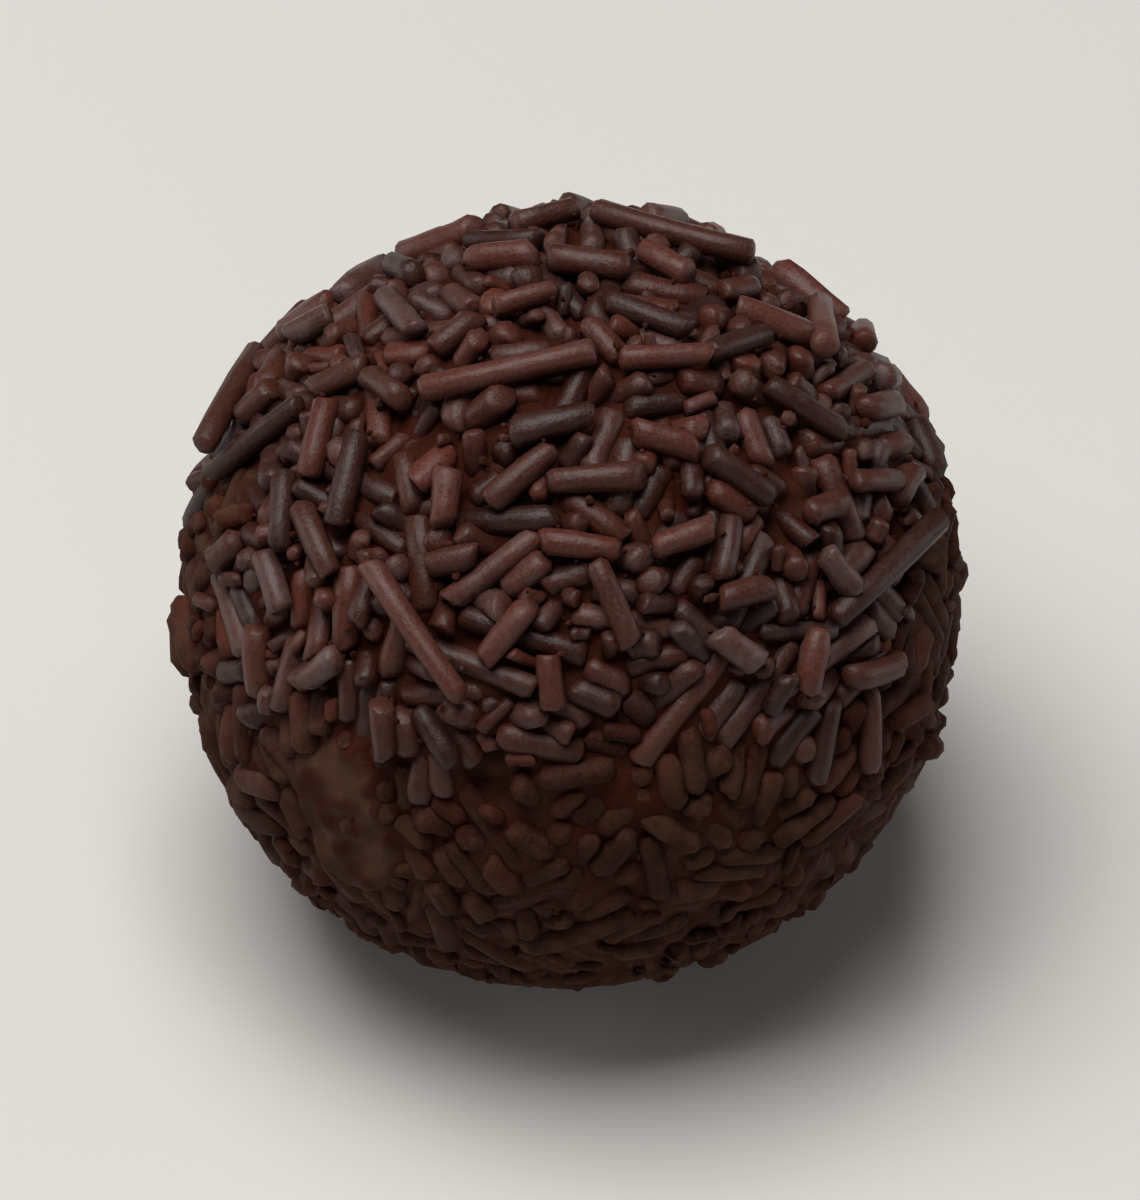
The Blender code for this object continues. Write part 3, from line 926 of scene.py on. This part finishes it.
def filling_mesh(name):
    """Closed ball on a grid of latitudes and longitudes with a point at each pole:
    position = heart + way * (filling level + lumps + squeeze * exp(-gap to the sprinkles / spread))."""
    latitude = np.linspace(-90.0, 90.0, FILLING_ROWS + 1)[1:-1]
    longitude = np.arange(FILLING_COLUMNS) * 360.0 / FILLING_COLUMNS
    ways = compass(longitude[None, :], latitude[:, None]).reshape(-1, 3)
    surface = ways * filling_level(ways)[:, None]
    gap = np.maximum(gap_to_rods(surface, *whole_coat), 0.0)
    squeeze = SQUEEZE[0] + (SQUEEZE[1] - SQUEEZE[0]) * pressed_share(ways)
    rise = squeeze * np.exp(-gap / SQUEEZE_SPREAD)
    rise += lumps_of(surface)
    points = surface + ways * rise[:, None]
    poles = np.array([compass(0.0, -90.0), compass(0.0, 90.0)])
    points = np.concatenate([points, poles * filling_level(poles)[:, None]]) + HEART
    points[:, 2] = np.maximum(points[:, 2], LOWEST)

    rings = len(latitude)
    walls = walls_of(rings, FILLING_COLUMNS)
    here = np.arange(FILLING_COLUMNS)
    following = (here + 1) % FILLING_COLUMNS
    top_row = (rings - 1) * FILLING_COLUMNS
    south = np.stack(np.broadcast_arrays(following, here, len(points) - 2), axis=-1)
    north = np.stack(np.broadcast_arrays(top_row + here, top_row + following, len(points) - 1), axis=-1)
    mesh = mesh_of(name, points, walls.tolist() + south.tolist() + north.tolist())
    mesh.shade_smooth()

    # the map: longitude across, latitude up
    west, east = here / FILLING_COLUMNS, (here + 1) / FILLING_COLUMNS
    between = (west + east) / 2.0
    level = (np.arange(rings)[:, None] + 1.0) / FILLING_ROWS
    low_row, high_row = level[:-1], level[1:]
    faces = (
        (west, low_row, east, low_row, east, high_row, west, high_row),
        (east, level[0], west, level[0], between, 0.0),
        (west, level[-1], east, level[-1], between, 1.0),
    )
    places = [np.stack(np.broadcast_arrays(*corners), axis=-1).ravel() for corners in faces]
    layer = mesh.uv_layers.new(name="OFBake")
    layer.data.foreach_set("uv", np.concatenate(places).astype(np.float32))
    # the rubbed share is cut near each sprinkle, painting the filling darker there as shade in the crevices
    crevice_shade = np.append(np.exp(-gap / CREVICE_SHADE_SPREAD), (1.0, 1.0))
    give_rubbed(mesh, points, 1.0 - 1.2 * crevice_shade)
    return placed(name, mesh)


def filling_chocolate():
    """Filling chocolate: very dark matt brown, finely grainy, paler and smoother where it is rubbed, and
    painted darker beside the sprinkles, where its rubbed share is cut: painted shade in the crevices.
    """
    nodes = Nodes("filling_chocolate")
    nodes.set(nodes.shader, Specular_IOR_Level=0.06)
    place = nodes.add("ShaderNodeTexCoord").outputs["Object"]
    rubbed = nodes.stored("rubbed", "Fac")
    crumb = nodes.noise(place, 2600.0, 5.0, 0.65)
    smear = nodes.noise(place, 420.0, 3.0, 0.55)
    film = nodes.mix(nodes.spread(smear, 0.35, 0.65, 0.0, 1.0), FILM_DARK, FILM_PALE)
    # the rubbed share is low beside the sprinkles, so this mix paints shade into the crevices there
    pale = nodes.math("ADD", nodes.spread(smear, 0.4, 0.7, 0.0, 0.25), rubbed)
    colour = nodes.mix(nodes.math("MINIMUM", pale, 1.0), (0.033, 0.0060, 0.0022, 1.0), film)
    matt = nodes.spread(smear, 0.35, 0.7, 0.74, 0.58)
    bump = nodes.add("ShaderNodeBump", Strength=1.0, Distance=0.09 * MM, Height=crumb).outputs[0]
    nodes.set(nodes.shader, Base_Color=colour, Roughness=matt, Normal=bump)
    return nodes.material


filling = filling_mesh("filling")
filling.data.materials.append(filling_chocolate())
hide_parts("truffle")
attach(filling, "root")


# -----------------------------------------------------------------------------
# The table top, a plain pale sheet, with soft studio light from above and a camera that looks down at the
# truffle. None of these is part of the truffle.
CAMERA_ELEVATION = 44.5  # degrees above the level
CAMERA_DISTANCE = 0.80  # metres
BALL_SHARE = 0.66  # of the picture's height that the ball's width takes up
SENSOR = 36.0  # mm

bpy.ops.mesh.primitive_plane_add(size=6.0)
table_top = bpy.context.object
table_top.name = "table_top"
pale = Nodes("pale_table")
pale.set(pale.shader, Base_Color=(0.60, 0.58, 0.55, 1.0), Roughness=0.7)
table_top.data.materials.append(pale.material)

tilt = np.radians(CAMERA_ELEVATION)
camera = placed("camera", bpy.data.cameras.new("camera"))
camera.data.lens = SENSOR * CAMERA_DISTANCE * BALL_SHARE / (2.0 * MEAN_RADIUS)
camera.data.sensor_width = SENSOR
camera.data.clip_start = 0.01
camera.location = HEART + CAMERA_DISTANCE * np.array([0.0, -np.cos(tilt), np.sin(tilt)])
camera.rotation_euler = (np.pi / 2.0 - tilt, 0.0, 0.0)
bpy.context.scene.camera = camera


def soft_box(name, place, size, power):
    """Square area light of a size in metres and a power in watts at a place, turned to the ball."""
    lamp = placed(name, bpy.data.lights.new(name, "AREA"))
    lamp.data.shape = "SQUARE"
    lamp.data.size = size
    lamp.data.energy = power
    lamp.location = place
    aim = Vector(HEART) - lamp.location
    lamp.rotation_euler = aim.to_track_quat("-Z", "Y").to_euler()


soft_box("key_light", (-0.07, -0.01, 0.42), 0.30, 2.30)
soft_box("left_light", (-0.42, 0.06, 0.05), 0.22, 0.60)
soft_box("right_light", (0.42, 0.10, 0.05), 0.22, 0.52)
soft_box("fill_light", (0.06, -0.42, 0.16), 0.30, 0.12)
world = bpy.data.worlds.new("studio")
world.use_nodes = True
air = world.node_tree.nodes["Background"].inputs
air["Color"].default_value = (1.0, 1.0, 1.0, 1.0)
air["Strength"].default_value = 0.050
bpy.context.scene.world = world
bpy.context.scene.view_settings.view_transform = "Standard"
